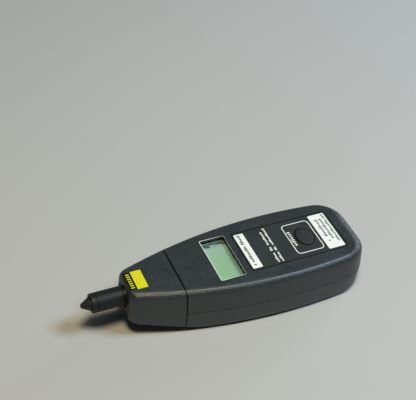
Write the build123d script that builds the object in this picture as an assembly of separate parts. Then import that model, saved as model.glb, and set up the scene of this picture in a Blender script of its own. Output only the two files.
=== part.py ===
from build123d import *
import math
import os

# A hand-held tachometer that reads with a light beam and, with the adapter on its nose, by contact.
# It lies face up on its back. X runs to the right of the face, Y towards the nose, Z out of the face.
# The origin lies under the middle of its whole length, on the surface that it rests on. Millimetres.

# Case, its places along given from the nose's end
body_length = 180.0
body_width = 69.2
body_height = 38.0
wall = 2.2
seam_from_nose = 0.2128 * body_length
seam_gap = 0.5
widest_from_nose = 0.6611 * body_length
nose_width = 29.4
nose_corner = 8.5
rear_corner = 22.0
side_draft = 0.8

# Rounding of the case, how far it comes in at the side, the nose's side, the nose's end and the rear
face_round_height = 6.5
face_rounds = (4.8, 6.5, 2.5, 9.0)
back_round_height = 6.0
back_rounds = (5.0, 5.0, 2.5, 5.0)
round_steps = 7
inner_round_steps = 2
rim_bevel = 0.35
slope_from_nose = 0.35 * body_length
slope_rise = 0.342 * body_height

# Tongue that joins the halves of the case to the nose cap
spigot_wall = 1.4
spigot_reach = 4.0
spigot_root = 3.0
fit_clearance = 0.15

# Four AA cells side by side fill the width of the case but for a margin
cell_count = 4
cell_clearance = 0.1
bay_margin = 5.8
bay_front_from_nose = 0.5639 * body_length
bay_rear_margin = 21.5
cell_room = 6.8
cell_pitch = (body_width - 2 * bay_margin) / cell_count
cell_diameter = cell_pitch - 2 * cell_clearance
bay_length = body_length - bay_front_from_nose - bay_rear_margin
cell_length = bay_length - cell_room
cell_nub_diameter = 5.4
cell_nub_length = 1.2
nub_gap = 0.05
bay_wall = 1.4
bay_headroom = 1.1
bay_rib_thickness = 1.0
bay_rib_height = 4.6
contact_size = 0.77 * cell_diameter
contact_thickness = 0.4
spring_strip = 0.5
spring_span = 7.0
spring_width = 6.0
spring_flat = 2.0
spring_foot = 1.5
lead_diameter = 1.4

# Sliding battery cover
cover_margin = 7.2
cover_thickness = 2.2
cover_clearance = 0.2
cover_end_margin = 14.6
cover_end_height = 13.0
cover_end_thickness = 4.4
tongue_width = 1.0
tongue_thickness = 1.0
tongue_level = 1.0
tongue_ends_from_nose = (0.5889 * body_length, 0.8556 * body_length)
grip_count = 6
grip_pitch = 2.6
grip_width = 24.0
grip_depth = 0.6
grip_from_nose = 0.8611 * body_length

# Levels of the bay's top, the split between the halves, and the main board
bay_height = cover_thickness + cell_diameter + bay_headroom
deck_thickness = 1.5
split_height = bay_height + deck_thickness
board_rise = 3.0
board_level = split_height + board_rise
upper_height = body_height - split_height

# Display
lcd_side_margin = 14.5
lcd_width = body_width - 2 * lcd_side_margin
lcd_length = 18.3
lcd_from_nose = 0.4125 * body_length
lcd_corner = 0.8
window_margin = 1.9
window_thickness = 1.5
glass_margin = 1.5
glass_thickness = 2.4
frame_wall = 1.5
strip_width = 2.4

# Front panel and stuck-on fields
panel_side_margin = 14.9
panel_width = body_width - 2 * panel_side_margin
panel_length = 0.4222 * body_length
panel_from_nose = 0.7056 * body_length
panel_thickness = 0.45
panel_recess = 0.5
panel_gap = 0.25
panel_corner = 2.0
label_thickness = 0.15
small_label_margin = 2.0
small_label_size = (panel_width - 2 * small_label_margin, 7.4)
small_label_from_nose = 0.5222 * body_length
rear_label_margin = 1.75
rear_label_size = (panel_width - 2 * rear_label_margin, 13.0)
rear_label_from_nose = 0.8717 * body_length
label_corner = 0.8
sticker_margin = 6.2
sticker_size = (nose_width - 2 * sticker_margin, 12.9)
sticker_from_nose = 9.2

# Memory button, on the face
memory_from_nose = 0.7722 * body_length
memory_diameter = 14.4
memory_gap = 0.5
memory_proud = 1.0
memory_travel = 1.0
memory_flange = 1.5
memory_flange_thickness = 1.2
memory_dish = 0.5
memory_dish_edge = 1.0
memory_dish_steps = (0.6,)
stem_diameter = 4.4

# Measuring button, on the right side
measure_from_nose = 0.6056 * body_length
measure_length = 20.0
measure_height = 0.421 * upper_height
measure_level = split_height + 0.395 * upper_height
measure_gap = 0.3
measure_proud = 0.6
measure_travel = 1.2
measure_flange = 1.8
measure_flange_thickness = 1.2
measure_flange_inset = 4.8

# Press switches
switch_size = 6.0
switch_height = 4.0
plunger_diameter = 3.2
plunger_gap = 0.1
plunger_depth = 2.0
plunger_rise = 0.6

# Main board
board_thickness = 1.6
board_margin = 8.1
board_width = body_width - 2 * board_margin
board_end_from_nose = 0.8611 * body_length
board_corner = 1.5
board_post_from_nose = (0.5278 * body_length, 0.8389 * body_length)
board_post_inset = 6.5
post_diameter = 5.5
chip_size = (14.0, 10.0, 2.0)
capacitor_diameter = 6.3
capacitor_height = 7.0

# Screws
board_screw_diameter = 2.0
board_screw_length = 6.0
board_screw_head = 3.8
board_screw_head_height = 1.4
case_screw_diameter = 2.9
case_screw_length = 9.4
case_screw_head = 5.4
case_screw_head_height = 2.0
screw_slot_width = 0.6
screw_clearance = 0.1
case_post_wall = 1.3
front_post_from_nose = 0.2833 * body_length
front_post_x = 0.275 * body_width
rear_post_from_nose = 0.9333 * body_length
rear_post_x = 0.217 * body_width

# Light unit in the nose
axis_depth = 11.5
axis_height = body_height - axis_depth
socket_flange_diameter = 14.6
socket_flange_thickness = 1.2
socket_recess_depth = 1.4
socket_recess_diameter = 18.0
socket_neck_diameter = 11.8
socket_neck_end = 5.0
socket_thread_diameter = 11.4
socket_thread_length = 4.8
socket_bore = 8.4
nut_diameter = 14.8
nut_thickness = 1.8
sensor_window_diameter = 9.8
sensor_window_thickness = 1.3
optics_width = 19.0
optics_height = 11.0
optics_length = 11.0
optics_corner = 2.0
lens_spacing = 9.0
laser_diameter = 6.5
laser_length = 17.0
receiver_diameter = 6.5
receiver_length = 13.0
sensor_board_size = (24.0, 16.0)
sensor_board_thickness = 1.6
ribbon_width = 12.0
ribbon_thickness = 0.6
ribbon_seat = 2.7
ribbon_bend = 4.0

# Contact adapter on the nose
adapter_diameter = 14.0
adapter_gap = 0.5
housing_length = 18.9
edge_chamfer = 0.3
groove_width = 0.5
groove_depth = 0.6
cap_length = 3.4
cap_wall = 1.1
cap_shoulder = 1.2
cap_end_chamfer = 0.4
bearing_diameter = 9.0
bearing_width = 3.0
bearing_chamfer = 0.3
bearing_shield_depth = 0.2
shaft_diameter = 4.0
shaft_clearance = 0.05
shaft_collar_diameter = 5.6
shaft_collar_length = 0.9
disc_diameter = 9.6
disc_room = 0.7
disc_thickness = 0.8
disc_gap = 0.8
clip_diameter = 6.8
clip_thickness = 0.6
clip_gap = 0.2
end_play = 0.1
tip_diameter = 9.2
tip_point_diameter = 2.6
tip_straight = 3.6
tip_recess_depth = 3.0
tip_recess_gap = 1.1
tip_seat_gap = 0.6
tip_reach = 6.9
tip_cover = 3.0

socket_reach = socket_flange_thickness - socket_recess_depth
adapter_length = socket_reach + adapter_gap + housing_length + groove_width + cap_length
overall_length = body_length + adapter_length + tip_reach
nose_y = body_length - overall_length / 2
rear_y = -overall_length / 2
seam_y = nose_y - seam_from_nose
far = 2 * overall_length
STAND = (Align.CENTER, Align.CENTER, Align.MIN)


def place(from_nose):
    """The Y of a distance measured back from the nose's end."""
    return nose_y - from_nose


def block(x_range, y_range, z_range):
    """A box between the given limits."""
    size = [high - low for low, high in (x_range, y_range, z_range)]
    middle = [(high + low) / 2 for low, high in (x_range, y_range, z_range)]
    return Pos(*middle) * Box(*size)


def post(x, y, z_range, diameter):
    """An upright round solid."""
    return Pos(x, y, z_range[0]) * Cylinder(diameter / 2, z_range[1] - z_range[0], align=STAND)


def along(y, length, diameter, x=0.0, z=axis_height):
    """A round solid that runs towards the nose from y."""
    plane = Plane(origin=(x, y, z), x_dir=(1, 0, 0), z_dir=(0, 1, 0))
    return plane * Cylinder(diameter / 2, length, align=STAND)


def turned(points):
    """A solid turned round the nose's axis from a half profile of radius and Y."""
    profile = Polyline([(radius, y) for radius, y in points], close=True)
    return Pos(0, 0, axis_height) * revolve(make_face(profile), Axis.Y)


def turned_up(points, y):
    """A solid turned round an upright axis from a half profile of radius and Z."""
    profile = Polyline([(radius, z) for radius, z in points], close=True)
    return Pos(0, y, 0) * revolve(Plane.XZ * make_face(profile), Axis.Z)


def plate(size, y, z, thickness, corner, x=0.0):
    """A flat plate with rounded corners that stands on level z."""
    return Pos(x, y, z) * extrude(RectangleRounded(size[0], size[1], corner), thickness)


# Outer form: closed outlines at rising levels, joined by a loft
def corner_arc(centre, radius, corner, end_y, way):
    """The arc between a long side arc and a straight end; way is 1 at the nose and -1 at the rear."""
    y = end_y - way * corner
    x = centre.X + math.sqrt((radius - corner) ** 2 - (y - centre.Y) ** 2)
    middle = Vector(x, y)
    outward = (middle - centre).normalized()
    halfway = (outward + Vector(0, way)).normalized()
    return middle + outward * corner, middle + halfway * corner, Vector(x, end_y)


def outline(level, draft_share, round_share, rounds, inset):
    """A straight nose and rear end, joined by tangent arcs to two long side arcs."""
    side_in, nose_side_in, nose_end_in, rear_in = rounds
    come_in = side_draft * draft_share + inset
    nose_in = come_in + nose_end_in * round_share
    rear_end_in = come_in + rear_in * round_share
    half = body_width / 2 - side_in * round_share
    drop = half - (nose_width / 2 - nose_side_in * round_share)
    radius = (widest_from_nose**2 + drop**2) / (2 * drop)
    centre = Vector(half - radius, place(widest_from_nose))
    front = corner_arc(centre, radius - come_in, nose_corner - nose_in, nose_y - nose_in, 1)
    back = corner_arc(centre, radius - come_in, rear_corner - rear_end_in, rear_y + rear_end_in, -1)
    widest = Vector(half - come_in, centre.Y)

    def mirrored(point):
        return Vector(-point.X, point.Y)

    right = [
        ThreePointArc(front[2], front[1], front[0]),
        ThreePointArc(front[0], widest, back[0]),
        ThreePointArc(back[0], back[1], back[2]),
    ]
    left = [
        ThreePointArc(mirrored(back[2]), mirrored(back[1]), mirrored(back[0])),
        ThreePointArc(mirrored(back[0]), mirrored(widest), mirrored(front[0])),
        ThreePointArc(mirrored(front[0]), mirrored(front[1]), mirrored(front[2])),
    ]
    rear_line = Line(back[2], mirrored(back[2]))
    nose_line = Line(mirrored(front[2]), front[2])
    return Pos(0, 0, level) * make_face(Wire([*right, rear_line, *left, nose_line]))


def half_form(flat_level, round_height, rounds, inset, rim):
    """One half of the case as a full solid, from its rim at the split to its flat face or back."""
    way = 1 if flat_level > split_height else -1
    steps = inner_round_steps if inset > 0 else round_steps
    flat = flat_level - way * inset
    sections = [outline(split_height, 0.0, 0.0, rounds, inset + rim)]
    if rim:
        sections.append(outline(split_height + way * rim, 0.0, 0.0, rounds, inset))
    for step in range(steps + 1):
        angle = math.radians(90 * step / steps)
        level = flat - way * round_height * (1 - math.sin(angle))
        sections.append(outline(level, 1.0, 1 - math.cos(angle), rounds, inset))
    return loft(sections, ruled=True)


def under_slope(inset):
    """Everything below the sloping underside of the nose."""
    angle = math.atan2(slope_rise, slope_from_nose)
    start = Vector(place(slope_from_nose) - inset * math.sin(angle), inset * math.cos(angle))
    run = Vector(math.cos(angle), math.sin(angle)) * body_length
    deep = Vector(0, -body_length)
    profile = Polyline([start - run, start + run, start + run + deep, start - run + deep], close=True)
    return extrude(Plane.YZ * make_face(profile), body_width, both=True)


def upper_form(inset=0.0, rim=0.0):
    return half_form(body_height, face_round_height, face_rounds, inset, rim)


def lower_form(inset=0.0, rim=0.0):
    return half_form(0.0, back_round_height, back_rounds, inset, rim) - under_slope(inset)


def stretch(y_range):
    """The whole width and height of the case between two places along it."""
    return block((-far, far), y_range, (-far, far))


def with_spigot(form, cavity, spigot_outside, spigot_inside):
    """A half shell up to the seam, with the tongue that the nose cap slides over."""
    shell = (form - cavity) & stretch((rear_y - wall, seam_y))
    root = (form - spigot_inside) & stretch((seam_y - spigot_root, seam_y))
    tongue = (spigot_outside - spigot_inside) & stretch((seam_y - spigot_root, seam_y + spigot_reach))
    return shell + root + tongue


upper = upper_form()
lower = lower_form()
rimmed_upper = upper_form(rim=rim_bevel)
rimmed_lower = lower_form(rim=rim_bevel)
upper_cavity = upper_form(wall)
lower_cavity = lower_form(wall)
spigot_inset = wall + fit_clearance
upper_spigot = upper_form(spigot_inset)
lower_spigot = lower_form(spigot_inset)
upper_spigot_cavity = upper_form(spigot_inset + spigot_wall)
lower_spigot_cavity = lower_form(spigot_inset + spigot_wall)
ceiling = body_height - wall

# Screws and their posts
board_top = board_level + board_thickness
board_post_x = board_width / 2 - board_post_inset
board_posts = [(x, place(s)) for x in (-board_post_x, board_post_x) for s in board_post_from_nose]
case_posts = [(x, place(front_post_from_nose)) for x in (-front_post_x, front_post_x)]
case_posts += [(x, place(rear_post_from_nose)) for x in (-rear_post_x, rear_post_x)]
case_screw_seat = bay_height - fit_clearance
case_hole = case_screw_diameter + 2 * screw_clearance
board_hole = board_screw_diameter + 2 * screw_clearance
case_post_diameter = case_screw_head + 2 * (case_post_wall + screw_clearance)


def screw(x, y, seat, diameter, length, head_diameter, head_height):
    """A pan-head screw driven upwards, its head below the seat."""
    head = post(x, y, (seat - head_height, seat), head_diameter)
    half_slot = screw_slot_width / 2
    slot = block((x - head_diameter, x + head_diameter), (y - half_slot, y + half_slot), (-far, seat - head_height * 0.6))
    return head - slot + post(x, y, (seat, seat + length), diameter)


# Front shell
lcd_y = place(lcd_from_nose)
panel_y = place(panel_from_nose)
panel_floor = body_height - panel_recess
memory_y = place(memory_from_nose)
memory_hole = memory_diameter + 2 * memory_gap
measure_y = place(measure_from_nose)
measure_inner_x = body_width / 2 - measure_flange_inset


def measure_block(x_range, grow):
    """A rounded bar through the right side wall, as large as the measuring button and `grow` more."""
    size = (measure_length + 2 * grow, measure_height + 2 * grow)
    plane = Plane(origin=(x_range[0], measure_y, measure_level), x_dir=(0, 1, 0), z_dir=(1, 0, 0))
    return plane * extrude(RectangleRounded(size[0], size[1], size[1] / 2 - 0.2), x_range[1] - x_range[0])


def front_shell():
    shell = with_spigot(rimmed_upper, upper_cavity, upper_spigot, upper_spigot_cavity)
    for x, y in board_posts:
        shell += post(x, y, (board_top, ceiling + wall / 2), post_diameter)
    for x, y in case_posts:
        shell += post(x, y, (split_height, body_height), case_post_diameter) & upper
    for x, y in board_posts:
        shell -= post(x, y, (board_top - 1, board_top + board_screw_length), board_hole)
    for x, y in case_posts:
        shell -= post(x, y, (split_height - 1, case_screw_seat + case_screw_length + 1), case_hole)
    panel_size = (panel_width + 2 * panel_gap, panel_length + 2 * panel_gap)
    shell -= plate(panel_size, panel_y, panel_floor, wall, panel_corner + panel_gap)
    shell -= plate((lcd_width, lcd_length), lcd_y, ceiling - 1, wall + 2, lcd_corner)
    shell -= post(0, memory_y, (ceiling - 1, body_height + 1), memory_hole)
    shell -= measure_block((measure_inner_x, body_width), measure_gap)
    return shell


# Nose cap, one moulding round the whole nose
flange_seat_y = nose_y - socket_recess_depth
neck_y = flange_seat_y - socket_neck_end
nut_front_y = nose_y - side_draft - wall


def nose_cap():
    reach = stretch((seam_y + seam_gap, nose_y + wall))
    cap = ((upper - upper_cavity) & reach) + ((lower - lower_cavity) & reach)
    cap -= along(flange_seat_y, wall * 2, socket_recess_diameter)
    cap -= along(nut_front_y - far, far, nut_diameter + 4 * fit_clearance) & stretch((neck_y, nut_front_y))
    return cap - along(nose_y - 3 * wall, 4 * wall, socket_neck_diameter + 2 * fit_clearance)


# Rear shell with the battery bay moulded in
bay_front_y = place(bay_front_from_nose)
bay_rear_y = bay_front_y - bay_length
bay_half_width = cell_pitch * cell_count / 2 + cell_clearance
cover_half_width = body_width / 2 - cover_margin
cover_end_half_width = body_width / 2 - cover_end_margin
opening_half_width = cover_half_width + cover_clearance
tongue_y = (place(tongue_ends_from_nose[1]), place(tongue_ends_from_nose[0]))


def rear_shell():
    shell = with_spigot(rimmed_lower, lower_cavity, lower_spigot, lower_spigot_cavity)
    outside = bay_half_width + bay_wall
    deck = block((-far, far), (rear_y, bay_front_y + bay_wall), (bay_height, split_height))
    front_wall = block((-far, far), (bay_front_y, bay_front_y + bay_wall), (0, split_height))
    rear_wall = block((-outside, outside), (bay_rear_y - bay_wall, bay_rear_y), (0, split_height))
    shell += (deck + front_wall + rear_wall) & rimmed_lower
    half_rib = bay_rib_thickness / 2
    for index in range(1, cell_count):
        x = (cell_places[index - 1] + cell_places[index]) / 2
        shell += block((x - half_rib, x + half_rib), (bay_rear_y, bay_front_y), (bay_height - bay_rib_height, bay_height))
    for side in (-1, 1):
        inner, outer = sorted((side * bay_half_width, side * outside))
        shell += block((inner, outer), (bay_rear_y - bay_wall, bay_front_y + bay_wall), (0, split_height)) & lower
    for x, y in case_posts[:2]:
        shell += post(x, y, (0, split_height), case_post_diameter) & lower
    for x, y in case_posts:
        shell -= post(x, y, (-1, case_screw_seat), case_screw_head + 2 * screw_clearance)
        shell -= post(x, y, (0, split_height + 1), case_hole)
    opening = (-opening_half_width, opening_half_width)
    end_half = cover_end_half_width + cover_clearance
    end_y = rear_y + cover_end_thickness + cover_clearance
    shell -= block(opening, (rear_y - wall, bay_front_y), (-1, cover_thickness + cover_clearance))
    shell -= block((-end_half, end_half), (rear_y - wall, end_y), (-1, cover_end_height + cover_clearance))
    groove = opening_half_width + tongue_width
    groove_levels = (tongue_level - cover_clearance / 2, tongue_level + tongue_thickness + cover_clearance / 2)
    shell -= block((-groove, groove), (rear_y - wall, tongue_y[1] + cover_clearance), groove_levels)
    for x in (-lead_x, lead_x):
        shell -= post(x, lead_y, (bay_height - 1, split_height + 1), lead_diameter + 2 * fit_clearance)
    return shell


def battery_cover():
    half = cover_half_width
    end_half = cover_end_half_width
    floor = block((-half, half), (rear_y, bay_front_y - cover_clearance), (0, cover_thickness))
    end = block((-end_half, end_half), (rear_y, rear_y + cover_end_thickness), (0, cover_end_height))
    cover = (floor + end) & lower
    levels = (tongue_level, tongue_level + tongue_thickness)
    for side in (-1, 1):
        limits = sorted((side * (half - tongue_width), side * (half + tongue_width)))
        cover += block(limits, tongue_y, levels)
    for index in range(grip_count):
        y = place(grip_from_nose) - index * grip_pitch
        cover -= block((-grip_width / 2, grip_width / 2), (y - grip_pitch / 4, y + grip_pitch / 4), (-1, grip_depth))
    return cover


# Cells, their springs and plates
cell_level = cover_thickness + cell_clearance + cell_diameter / 2
cell_places = [(index - (cell_count - 1) / 2) * cell_pitch for index in range(cell_count)]
lead_x = cell_places[-1]
lead_y = bay_front_y + bay_wall + lead_diameter / 2 + fit_clearance


def cell_plane(index):
    """The plane of a cell's plus end, its Z towards the nub; every other cell is turned round."""
    way = 1 if index % 2 == 0 else -1
    end = bay_front_y if way == 1 else bay_rear_y
    y = end - way * (contact_thickness + nub_gap + cell_nub_length)
    return Plane(origin=(cell_places[index], y, cell_level), x_dir=(1, 0, 0), z_dir=(0, way, 0))


def cell(index):
    can_length = cell_length - cell_nub_length
    can = Pos(0, 0, -can_length) * Cylinder(cell_diameter / 2, can_length, align=STAND)
    return cell_plane(index) * (can + Cylinder(cell_nub_diameter / 2, cell_nub_length, align=STAND))


def spring(index):
    """A bent leaf between the bay's wall and the cell's flat end."""
    room = bay_length - 2 * contact_thickness - nub_gap - cell_length
    reach = room - spring_strip - 2 * nub_gap
    half = spring_span / 2
    bends = Polyline([(0, -half), (reach, -spring_flat / 2), (reach, spring_flat / 2), (0, half), (0, half + spring_foot)])
    leaf = extrude(Plane.YZ * trace(bends, spring_strip), spring_width / 2, both=True)
    seat = bay_length - contact_thickness - (contact_thickness + nub_gap + cell_nub_length)
    to_wall = Pos(0, 0, -seat + spring_strip / 2 + nub_gap)
    return cell_plane(index) * to_wall * Rot(90, 0, 0) * leaf


def contact_plates():
    half = contact_size / 2
    plates = []
    for x in cell_places:
        for y in (bay_front_y - contact_thickness, bay_rear_y):
            levels = (cell_level - half, cell_level + half)
            plates.append(block((x - half, x + half), (y, y + contact_thickness), levels))
    return plates


def battery_leads():
    return [post(x, lead_y, (cell_level, board_level), lead_diameter) for x in (-lead_x, lead_x)]


# Display, from the window down to the board
window_size = (lcd_width + 2 * window_margin, lcd_length + 2 * window_margin)
glass_size = (lcd_width + 2 * glass_margin, lcd_length + 2 * glass_margin)
window_bottom = ceiling - fit_clearance - window_thickness
glass_bottom = window_bottom - fit_clearance - glass_thickness
frame_inside = [side + 2 * fit_clearance for side in glass_size]
frame_outside = [side + 2 * frame_wall for side in frame_inside]
frame_front_y = lcd_y + frame_outside[1] / 2


def lcd_frame():
    height = window_bottom - fit_clearance - board_top
    frame = plate(frame_outside, lcd_y, board_top, height, frame_wall)
    return frame - plate(frame_inside, lcd_y, board_top - 1, height + 2, fit_clearance)


def contact_strips():
    half = lcd_width / 2
    offset = lcd_length / 2 - strip_width / 2
    levels = (board_top, glass_bottom)
    strips = []
    for y in (lcd_y - offset, lcd_y + offset):
        strips.append(block((-half, half), (y - strip_width / 2, y + strip_width / 2), levels))
    return strips


# Buttons, their plungers and switches
plunger_rest = switch_height - plunger_depth


def memory_button():
    top = body_height + memory_proud
    edge = memory_proud / 2
    side = memory_diameter / 2
    dish = side - memory_dish_edge
    flange_top = ceiling - memory_gap
    flange_bottom = flange_top - memory_flange_thickness
    hollow = [(dish * share, top - memory_dish * (1 - share**2)) for share in (1.0, *memory_dish_steps, 0.0)]
    return turned_up(
        [
            (0, memory_plunger_top),
            (stem_diameter / 2, memory_plunger_top),
            (stem_diameter / 2, flange_bottom),
            (side + memory_flange, flange_bottom),
            (side + memory_flange, flange_top),
            (side, flange_top),
            (side, top - edge),
            (side - edge * 0.3, top - edge * 0.3),
            (side - edge, top),
            *hollow,
        ],
        memory_y,
    )


memory_plunger_top = board_top + switch_height + memory_travel + plunger_rise


def memory_plunger():
    return post(0, memory_y, (board_top + plunger_rest, memory_plunger_top), plunger_diameter)


def memory_switch():
    half = switch_size / 2
    body = block((-half, half), (memory_y - half, memory_y + half), (board_top, board_top + switch_height))
    hole_bottom = board_top + plunger_rest - memory_travel - plunger_gap * 2
    return body - post(0, memory_y, (hole_bottom, board_top + far), plunger_diameter + 2 * plunger_gap)


measure_plunger_x = measure_inner_x - measure_flange_thickness
measure_switch_x = measure_plunger_x - measure_travel - plunger_rise


def measure_button():
    proud = upper_form(-measure_proud)
    cap = measure_block((measure_plunger_x, body_width), 0) & proud
    return cap + measure_block((measure_plunger_x, measure_inner_x), measure_flange)


def sideways(x_range, diameter):
    """A round solid that runs to the right, on the measuring button's axis."""
    plane = Plane(origin=(x_range[0], measure_y, measure_level), x_dir=(0, 1, 0), z_dir=(1, 0, 0))
    return plane * Cylinder(diameter / 2, x_range[1] - x_range[0], align=STAND)


def measure_plunger():
    return sideways((measure_switch_x - plunger_depth, measure_plunger_x), plunger_diameter)


def measure_switch():
    half = switch_size / 2
    levels = (board_top, measure_level + half)
    body = block((measure_switch_x - switch_height, measure_switch_x), (measure_y - half, measure_y + half), levels)
    hole = (measure_switch_x - plunger_depth - measure_travel - 2 * plunger_gap, measure_switch_x + 1)
    return body - sideways(hole, plunger_diameter + 2 * plunger_gap)


# Boards
def main_board():
    limits = (place(board_end_from_nose), frame_front_y + fit_clearance + ribbon_seat)
    size = (board_width, limits[1] - limits[0])
    board = plate(size, sum(limits) / 2, board_level, board_thickness, board_corner)
    for x, y in board_posts:
        board -= post(x, y, (board_level - 1, board_top + 1), board_hole)
    return board


def main_chip():
    width, length, height = chip_size
    y = (lcd_y + memory_y) / 2
    return block((-width, 0), (y - length / 2, y + length / 2), (board_top, board_top + height))


def capacitor():
    y = (lcd_y + memory_y) / 2
    can = post(capacitor_diameter, y, (board_top, board_top + capacitor_height), capacitor_diameter)
    return chamfer(can.faces().sort_by(Axis.Z)[-1].edges(), 0.4)


# Light unit in the nose
thread_y = flange_seat_y + socket_flange_thickness
window_seat_y = neck_y + sensor_window_thickness + fit_clearance
optics_front_y = neck_y - fit_clearance
optics_rear_y = optics_front_y - optics_length
sensor_board_y = optics_rear_y - laser_length / 2
lens_x = lens_spacing / 2


def adapter_socket():
    bore = socket_bore / 2
    seat = sensor_window_diameter / 2 + fit_clearance
    neck = socket_neck_diameter / 2
    flange = socket_flange_diameter / 2
    thread = socket_thread_diameter / 2
    end = thread_y + socket_thread_length
    return turned(
        [
            (seat, neck_y),
            (neck, neck_y),
            (neck, flange_seat_y),
            (flange, flange_seat_y),
            (flange, thread_y),
            (thread, thread_y),
            (thread, end),
            (bore, end),
            (bore, window_seat_y),
            (seat, window_seat_y),
        ]
    )


def socket_nut():
    ring = along(nut_front_y - nut_thickness, nut_thickness, nut_diameter)
    return ring - along(neck_y - 1, far, socket_neck_diameter + 2 * screw_clearance)


def optics_block():
    plane = Plane(origin=(0, optics_rear_y, axis_height), x_dir=(1, 0, 0), z_dir=(0, 1, 0))
    body = plane * extrude(RectangleRounded(optics_width, optics_height, optics_corner), optics_length)
    body -= along(optics_rear_y - 1, far, laser_diameter + 2 * screw_clearance, x=-lens_x)
    return body - along(optics_rear_y - 1, far, receiver_diameter + 2 * screw_clearance, x=lens_x)


def sensor_board():
    half = sensor_board_size[0] / 2
    low = axis_height - sensor_board_size[1] / 2
    board = block((-half, half), (sensor_board_y - sensor_board_thickness, sensor_board_y), (low, low + sensor_board_size[1]))
    return board


def laser_module():
    body = along(sensor_board_y, laser_length, laser_diameter, x=-lens_x)
    return body - along(sensor_board_y + laser_length - 1, 2, laser_diameter / 2, x=-lens_x)


def light_receiver():
    body = along(sensor_board_y, receiver_length, receiver_diameter, x=lens_x)
    return chamfer(body.faces().sort_by(Axis.Y)[-1].edges(), receiver_diameter / 5)


def sensor_ribbon():
    start_y = frame_front_y + fit_clearance
    bend_y = start_y + ribbon_seat + ribbon_bend
    end_y = sensor_board_y - sensor_board_thickness
    low = board_top + ribbon_thickness / 2
    path = Polyline([(start_y, low), (bend_y - ribbon_bend, low), (bend_y, axis_height), (end_y, axis_height)])
    strip = extrude(Plane.YZ * trace(path, ribbon_thickness), ribbon_width / 2, both=True)
    return strip & stretch((start_y, end_y))


# Contact adapter: housing and end cap stay still, the shaft turns in two bearings
housing_y = thread_y + adapter_gap
housing_end = housing_y + housing_length
cap_y = housing_end + groove_width
cap_end = cap_y + cap_length
tip_end = cap_end + tip_reach
tip_y = cap_end - tip_recess_depth + tip_seat_gap
disc_y = thread_y + socket_thread_length + disc_gap
collar_y = disc_y + disc_thickness
rear_bearing_y = collar_y + shaft_collar_length + end_play
clip_y = rear_bearing_y + bearing_width + clip_gap
recess_y = cap_end - tip_recess_depth
front_bearing_y = recess_y - cap_shoulder - shaft_clearance - bearing_width
spigot_y = front_bearing_y - shaft_clearance
bearing_seat = bearing_diameter / 2 + shaft_clearance
cap_spigot_radius = bearing_seat + cap_wall


def adapter_housing():
    outer = adapter_diameter / 2
    thread = socket_thread_diameter / 2 + screw_clearance
    thread_end = thread_y + socket_thread_length + disc_gap / 2
    chamber = disc_diameter / 2 + disc_room
    clip_bore = clip_diameter / 2 + 2 * clip_gap
    spigot = cap_spigot_radius + screw_clearance
    seat = (rear_bearing_y - shaft_clearance, rear_bearing_y + bearing_width + shaft_clearance)
    return turned(
        [
            (thread, housing_y),
            (outer - edge_chamfer, housing_y),
            (outer, housing_y + edge_chamfer),
            (outer, housing_end - edge_chamfer),
            (outer - edge_chamfer, housing_end),
            (spigot, housing_end),
            (spigot, spigot_y - screw_clearance),
            (clip_bore, spigot_y - screw_clearance),
            (clip_bore, seat[1]),
            (bearing_seat, seat[1]),
            (bearing_seat, seat[0]),
            (chamber, seat[0]),
            (chamber, thread_end),
            (thread, thread_end),
        ]
    )


def adapter_cap():
    outer = adapter_diameter / 2
    recess = tip_diameter / 2 + tip_recess_gap
    shoulder = shaft_diameter / 2 + cap_wall - shaft_clearance
    seat_end = front_bearing_y + bearing_width + shaft_clearance
    return turned(
        [
            (bearing_seat, spigot_y),
            (cap_spigot_radius, spigot_y),
            (cap_spigot_radius, housing_end),
            (outer - groove_depth, housing_end),
            (outer - groove_depth, cap_y),
            (outer, cap_y),
            (outer, cap_end - cap_end_chamfer),
            (outer - cap_end_chamfer, cap_end),
            (recess, cap_end),
            (recess, recess_y),
            (shoulder, recess_y),
            (shoulder, seat_end),
            (bearing_seat, seat_end),
        ]
    )


def bearing(y):
    """A ball bearing as one ring, its shield set back between the two races."""
    bore = shaft_diameter / 2 + shaft_clearance
    outer = bearing_diameter / 2
    race = (outer - bore) * 0.25
    end = y + bearing_width
    return turned(
        [
            (bore, y),
            (outer, y),
            (outer, end - bearing_chamfer),
            (outer - bearing_chamfer, end),
            (outer - race, end),
            (outer - race, end - bearing_shield_depth),
            (bore + race, end - bearing_shield_depth),
            (bore + race, end),
            (bore, end),
        ]
    )


def contact_shaft():
    rod = along(disc_y - end_play, tip_end - tip_cover - disc_y, shaft_diameter)
    return rod + along(collar_y, shaft_collar_length, shaft_collar_diameter)


def mark_disc():
    disc = along(disc_y, disc_thickness, disc_diameter)
    return disc - along(disc_y - 1, far, shaft_diameter + 2 * shaft_clearance)


def shaft_clip():
    ring = along(clip_y, clip_thickness, clip_diameter)
    ring -= along(clip_y - 1, far, shaft_diameter + 2 * shaft_clearance)
    gap = shaft_diameter * 0.3
    return ring - block((-gap, gap), (clip_y - 1, clip_y + far), (axis_height - far, axis_height))


def contact_tip():
    base = tip_diameter / 2
    hole = shaft_diameter / 2 + shaft_clearance
    hole_end = tip_end - tip_cover
    return turned(
        [
            (hole, tip_y),
            (base, tip_y),
            (base, tip_y + tip_straight),
            (tip_point_diameter / 2, tip_end),
            (0, tip_end),
            (0, hole_end),
            (hole, hole_end),
        ]
    )


def flat_field(size, from_nose, level, corner):
    return plate(size, place(from_nose), level, label_thickness, corner)


panel_top = panel_floor + panel_thickness
panel = plate((panel_width, panel_length), panel_y, panel_floor, panel_thickness, panel_corner)
panel -= post(0, memory_y, (panel_floor - 1, body_height + 1), memory_hole)
board_screw_limits = (board_screw_diameter, board_screw_length, board_screw_head, board_screw_head_height)
case_screw_limits = (case_screw_diameter, case_screw_length, case_screw_head, case_screw_head_height)

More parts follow.
